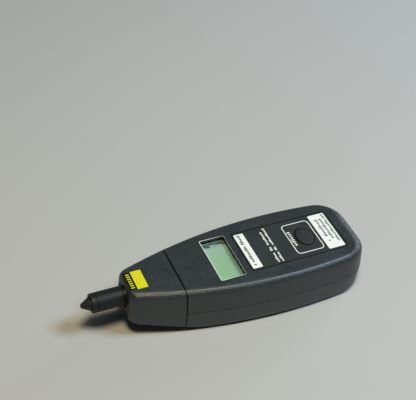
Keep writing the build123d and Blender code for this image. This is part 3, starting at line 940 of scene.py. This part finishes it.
def gridPiece(name, grids, material, body, closedRows=False, smoothBelow=None):
    # joins grids into one mesh: each quad spans a step along its row and a step to the next row;
    # a row closes on itself, and a grid's ends are capped unless its rows close too
    points = []
    faces = []
    start = 0
    for grid in grids:
        rows, count = grid.shape[:2]
        index = start + np.arange(rows * count).reshape(rows, count)
        onward = np.roll(index, -1, axis=1)
        above = np.roll(index, -1, axis=0)
        aboveOnward = np.roll(onward, -1, axis=0)
        quads = np.stack([index, onward, aboveOnward, above], axis=-1)
        if not closedRows:
            quads = quads[:-1]
            faces.append(index[0][::-1].tolist())
            faces.append(index[-1].tolist())
        faces += quads.reshape(-1, 4).tolist()
        points.append(grid.reshape(-1, 3))
        start += rows * count
    mesh = bpy.data.meshes.new(name)
    mesh.from_pydata(np.concatenate(points).tolist(), [], faces)
    mesh.validate()
    if smoothBelow is not None:
        # shades as one curve wherever neighbouring faces turn by less than this angle
        mesh.shade_smooth()
        mesh.set_sharp_from_angle(angle=np.radians(smoothBelow))
    mesh.materials.append(material)
    piece = bpy.data.objects.new(name, mesh)
    bpy.context.collection.objects.link(piece)
    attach(piece, body)
    return piece


# Rows of plain blocks stand where the panel has its two lines of print, and beside the button.
# Each word is a run of blocks, low ones and tall ones by turns; gaps part the words. Millimetres.
blockCorner = 0.3 * mm
printRows = {
    "printRowFront": {
        "y": -35.3,
        "from": 14.2,
        "words": (10, 3, 7),
        "low": 1.3,
        "tall": 1.8,
        "block": 0.94,
        "gap": 0.46,
        "space": 2.0,
    },
    "printRowRear": {
        "y": -38.6,
        "from": 17.4,
        "words": (13, 3, 7),
        "low": 1.3,
        "tall": 1.8,
        "block": 0.94,
        "gap": 0.46,
        "space": 1.5,
    },
    "printByButton": {
        "y": -54.3,
        "from": 7.6,
        "words": (8,),
        "low": 1.9,
        "tall": 2.6,
        "block": 0.98,
        "gap": 0.95,
        "space": 1.0,
        # it stands this much higher, clear of the line round the button
        "over": 0.03,
    },
}
labelRows = {
    "smallLabelLine": {
        "y": -18.2,
        "from": 16.4,
        "words": (6, 10, 1),
        "low": 1.7,
        "tall": 2.3,
        "block": 1.2,
        "gap": 0.5,
        "space": 1.4,
        "on": "small_label",
    },
    "rearLabelLineA": {
        "y": -86.3,
        "from": 16.6,
        "words": (3, 14),
        "low": 1.6,
        "tall": 2.2,
        "block": 1.1,
        "gap": 0.6,
        "space": 1.0,
        "on": "rear_label",
    },
    "rearLabelLineB": {
        "y": -82.9,
        "from": 12.6,
        "words": (13,),
        "low": 1.6,
        "tall": 2.2,
        "block": 1.1,
        "gap": 0.6,
        "space": 1.0,
        "on": "rear_label",
    },
    "rearLabelLineC": {
        "y": -79.5,
        "from": 12.5,
        "words": (11, 1),
        "low": 1.6,
        "tall": 2.2,
        "block": 1.1,
        "gap": 0.6,
        "space": 3.4,
        "on": "rear_label",
    },
}


def blockRow(look, base):
    # blocks stand side by side from the right edge leftwards, their feet on one line;
    # two of every five are tall
    grids = []
    x = look["from"]
    for word, count in enumerate(look["words"]):
        for place in range(count):
            tall = (place * 2 + word) % 5 in (0, 3)
            height = look["tall"] if tall else look["low"]
            middle = ((x - look["block"] / 2) * mm, (look["y"] + (height - look["tall"]) / 2) * mm)
            size = (look["block"] * mm, height * mm)
            top = base + inkHeight
            block = plateGrid(middle, size, blockCorner, base - inkSink, top, inkBevel, count=16)
            grids.append(block)
            x -= look["block"] + look["gap"]
        x -= look["space"]
    return grids


for name, look in printRows.items():
    base = panelTop + look.get("over", 0) * mm
    gridPiece(name, blockRow(look, base), finish["whiteInk"], "case")
for name, look in labelRows.items():
    base = corners(look["on"])[1][2]
    gridPiece(name, blockRow(look, base), finish["greyInk"], "case")


def rimPiece(name, middle, size, look, low, high, material):
    # one closed line round a rounded rectangle, whose size and corner are those of the line's middle
    width = look["width"] * mm
    grid = rimGrid(middle, size, look["corner"] * mm, width, low, high, look.get("thinning", 0))
    return gridPiece(name, [grid], material, "case", closedRows=True)


# Painted shade: a thin black line just inside the panel's edge stands for the shadow in the gap round the
# panel.
# The line's corner is the panel's own, 2 mm, less half the line's width.
panelEdgeShade = {"width": 0.7, "corner": 1.65}
rimPiece(
    "panelEdgeShade",
    panelMiddle,
    panelSize - panelEdgeShade["width"] * mm,
    panelEdgeShade,
    panelTop - inkSink,
    panelTop + inkHeight,
    finish["blackInkAndShade"],
)

# A printed white line frames the button and the blocks beside it
buttonOutline = {"size": (29.95, 21.1), "middle": (-0.1, -62.6), "corner": 2.8, "width": 0.7}
rimPiece(
    "buttonOutline",
    np.array(buttonOutline["middle"]) * mm,
    np.array(buttonOutline["size"]) * mm,
    buttonOutline,
    panelTop - inkSink,
    panelTop + inkHeight,
    finish["whiteInk"],
)

# The photo's button is oval and its solid is round, so the cap and the panel round it are made here.
# The head spreads over the shell's round hole and stays clear of the recess's floor when it is pressed.
buttonMiddle = (buttonLow + buttonHigh) / 2
flangeRadius = (buttonHigh[0] - buttonLow[0]) / 2
buttonCap = {
    "stem": 2.2,
    "flangeLow": 34.1,
    "flangeHigh": 35.3,
    # the head, its neck and the opening sit this far to the left of the stem, as in the photo
    "shift": -0.5,
    "neck": (6.9, 6.1),
    "head": (8.3, 6.15),
    "under": 38.55,
    # the lip's radius, and how many rows draw it
    "round": 0.12,
    "lipRows": 4,
    # the dome falls off with this power, over so many rings, down to this share of the head
    "crown": 4.0,
    "rings": 16,
    "innermost": 0.03,
    "smoothBelow": 35,
}


def capRows(look):
    # up the stem, out over the flange, up the oval neck, out under the head and round its lip as a
    # quarter circle; then inwards over a dome, which falls off with a power of how far out a point is
    top = buttonHigh[2]
    shift = look["shift"] * mm
    stem = look["stem"] * mm
    flangeLow, flangeHigh = look["flangeLow"] * mm, look["flangeHigh"] * mm
    neckX, neckY = look["neck"][0] * mm, look["neck"][1] * mm
    foot = [
        (stem, stem, buttonLow[2], 0),
        (stem, stem, flangeLow, 0),
        (flangeRadius, flangeRadius, flangeLow, 0),
        (flangeRadius, flangeRadius, flangeHigh, 0),
        (neckX, neckY, flangeHigh, shift),
        (neckX, neckY, look["under"] * mm, shift),
    ]
    head = np.array(look["head"])
    turn = np.linspace(-np.pi / 2, 0, look["lipRows"])[:, None]
    lipHalves = (head - look["round"] * (1 - np.cos(turn))) * mm
    lipZ = (look["under"] + look["round"] * (1 + np.sin(turn))) * mm
    lip = np.concatenate([lipHalves, lipZ, 0 * lipZ + shift], axis=1)
    share = np.linspace(1, look["innermost"], look["rings"])[1:, None]
    domeZ = top - (top - lipZ[-1]) * share ** look["crown"]
    dome = np.concatenate([head * share * mm, domeZ, 0 * domeZ + shift], axis=1)
    return np.concatenate([foot, lip, dome])


capPiece = gridPiece(
    "buttonCap",
    [ovalGrid(buttonMiddle, capRows(buttonCap))],
    finish["buttonAbs"],
    "memory_button",
    smoothBelow=buttonCap["smoothBelow"],
)
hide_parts("memory_button")

openingMiddle = buttonMiddle + np.array([buttonCap["shift"] * mm, 0, 0])
panelPlate = {
    "corner": 2.0,
    "opening": (8.65, 6.5),
    "rays": 96,
    # an even ray closer than this to a corner point's ray is left out, in radians
    "closest": 0.005,
}


def plateWithOval(look):
    # rays leave the oval's middle all round: each has one point on the oval and one where it first meets
    # a side of the panel's outline, and four rings of such points close the plate
    x, y = roundedOutline(*panelSize, look["corner"] * mm)
    outline = panelMiddle - openingMiddle[:2] + np.stack([x, y], axis=1)
    cornerAngle = np.arctan2(outline[:, 1], outline[:, 0]) % fullTurn
    evenAngle = np.arange(look["rays"]) * fullTurn / look["rays"]
    nearest = np.abs(evenAngle[:, None] - cornerAngle[None, :]).min(axis=1)
    angle = np.sort(np.concatenate([evenAngle[nearest > look["closest"]], cornerAngle]))
    way = np.stack([np.cos(angle), np.sin(angle)], axis=1)
    side = np.roll(outline, -1, axis=0) - outline
    outward = np.stack([side[:, 1], -side[:, 0]], axis=1)
    toward = way @ outward.T
    reach = (outward * outline).sum(axis=1)[None, :]
    length = np.where(toward > 0, reach / np.where(toward > 0, toward, 1), np.inf).min(axis=1)
    halfX, halfY = look["opening"][0] * mm, look["opening"][1] * mm
    ovalRadius = halfX * halfY / np.hypot(halfY * way[:, 0], halfX * way[:, 1])
    radius = np.stack([length, length, ovalRadius, ovalRadius])
    height = np.array([panelLow[2], panelHigh[2], panelHigh[2], panelLow[2]])[:, None]
    x, y = openingMiddle[0] + radius * way[:, 0], openingMiddle[1] + radius * way[:, 1]
    return joined(x, y, height)


platePiece = gridPiece(
    "panelPlate",
    [plateWithOval(panelPlate)],
    finish["panelFilm"],
    "case",
    closedRows=True,
)
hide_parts("front_panel")

# Painted shade: a black ring round the opening, with the open gap inside it, draws the dark line of shade
# round the button. It is heavier on the side where that shade is deepest.
buttonRingShade = {
    "width": 0.75,
    "gap": 0.05,
    "heavier": 0.45,
    "heavySide": -34,
    "opening": panelPlate["opening"],
}
gridPiece(
    "buttonRingShade",
    [ovalRingGrid(openingMiddle, buttonRingShade, panelTop - inkSink, panelTop + inkHeight)],
    finish["blackInkAndShade"],
    "case",
    closedRows=True,
)

# The sticker has two fields of colour: a dark band with plain yellow ticks lies on the nose's side
stickerPrint = {
    "band": 5.3,
    "bandCorner": 0.4,
    "tickCount": 7,
    "tickWidth": 1.0,
    "tickHeight": 2.6,
    "tickPitch": 2.1,
    "tickCorner": 0.2,
}
bandY = stickerHigh[1] - stickerPrint["band"] / 2 * mm
bandSize = (stickerHigh[0] - stickerLow[0], stickerPrint["band"] * mm)
bandTop = stickerHigh[2] + inkHeight
bandCorner = stickerPrint["bandCorner"] * mm
gridPiece(
    "stickerBand",
    [plateGrid((0, bandY), bandSize, bandCorner, stickerHigh[2] - inkSink, bandTop, inkBevel)],
    finish["blackInkAndShade"],
    "case",
)
tickGrids = []
tickSize = (stickerPrint["tickWidth"] * mm, stickerPrint["tickHeight"] * mm)
tickCorner = stickerPrint["tickCorner"] * mm
tickTop = bandTop + inkHeight
for index in range(stickerPrint["tickCount"]):
    x = (index - (stickerPrint["tickCount"] - 1) / 2) * stickerPrint["tickPitch"] * mm
    tick = plateGrid((x, bandY), tickSize, tickCorner, bandTop - inkSink, tickTop, inkBevel, count=16)
    tickGrids.append(tick)
gridPiece("stickerTicks", tickGrids, finish["yellowFilm"], "case")

# Painted highlight: a pale rim on the display, seen through the window, stands for the light that the
# recess's inner edges catch; it is thinner along the rear
displayRimHighlight = {"width": 0.5, "corner": 0.5, "height": 0.06, "inset": 0.5, "thinning": 0.7}
rimPiece(
    "displayRimHighlight",
    openMiddle,
    openSize - displayRimHighlight["inset"] * mm,
    displayRimHighlight,
    glassTop - inkSink,
    glassTop + displayRimHighlight["height"] * mm,
    finish["paleRim"],
)

# Painted highlight: a thin pale line on the face stands for the light that the opening's polished lip
# catches; it is thinner along the rear
openingLipHighlight = {"width": 0.52, "corner": 0.7, "height": 0.05, "thinning": 0.72}
rimPiece(
    "openingLipHighlight",
    openMiddle,
    openSize + openingLipHighlight["width"] * mm,
    openingLipHighlight,
    faceTop - inkSink,
    faceTop + openingLipHighlight["height"] * mm,
    finish["edgeHighlightPaint"],
)
print("prints, rims and button made")

# Plain pale floor and soft studio light
studio = {
    # half the floor's side is in metres, and the size of its clouds in millimetres
    "floor": "#b0b0ae",
    "floorHalf": 5.0,
    "floorCloud": 120,
    "floorRough": (0.75, 0.85),
    "world": "#dfe6ee",
    "worldStrength": 0.05,
    # all lights aim at this place in the case
    "aim": (0, -0.02, 0.03),
    # where each light stands, its width and height, its watts and its colour
    "lights": {
        "coolKey": ((-0.45, -0.94, 1.56), 0.50, 0.62, 27.0, "#cae5ff"),
        "warmTop": ((-0.30, 0.14, 1.36), 0.34, 0.34, 13.0, "#ffecc0"),
        "rearPanel": ((0.45, -1.20, 0.40), 0.60, 0.30, 5.0, "#e4ecff"),
    },
}


def makeFloor():
    half = studio["floorHalf"]
    mesh = bpy.data.meshes.new("floor")
    points = [(-half, -half, 0), (half, -half, 0), (half, half, 0), (-half, half, 0)]
    mesh.from_pydata(points, [], [(0, 1, 2, 3)])
    # matt paint: no more than a faint change of sheen from place to place
    material, tree, place = startMaterial("floorPaint")
    cloud = addNode(
        tree,
        "ShaderNodeTexNoise",
        {"Scale": perMetre(studio["floorCloud"]), "Detail": 3.0},
        {"Vector": place},
    )
    rough = addNode(
        tree,
        "ShaderNodeMapRange",
        {"To Min": studio["floorRough"][0], "To Max": studio["floorRough"][1]},
        {"Value": cloud.outputs["Fac"]},
    )
    shader = addNode(
        tree,
        "ShaderNodeBsdfPrincipled",
        {"Base Color": linear(studio["floor"])},
        {"Roughness": rough.outputs["Result"]},
    )
    endMaterial(tree, shader.outputs["BSDF"])
    mesh.materials.append(material)
    floor = bpy.data.objects.new("floor", mesh)
    bpy.context.collection.objects.link(floor)


def makeLights():
    world = bpy.data.worlds.new("studio")
    world.use_nodes = True
    background = world.node_tree.nodes["Background"]
    background.inputs["Color"].default_value = linear(studio["world"])
    background.inputs["Strength"].default_value = studio["worldStrength"]
    bpy.context.scene.world = world
    bpy.context.scene.view_settings.view_transform = "Standard"
    for name, (place, across, down, watts, colour) in studio["lights"].items():
        light = bpy.data.lights.new(name, "AREA")
        light.shape = "RECTANGLE"
        light.size = across
        light.size_y = down
        light.energy = watts
        light.color = linear(colour)[:3]
        holder = bpy.data.objects.new(name, light)
        aim = Vector(studio["aim"]) - Vector(place)
        turn = aim.to_track_quat("-Z", "Y").to_matrix().to_4x4()
        holder.matrix_world = Matrix.Translation(place) @ turn
        bpy.context.collection.objects.link(holder)


makeFloor()
makeLights()
print("floor and lights placed")
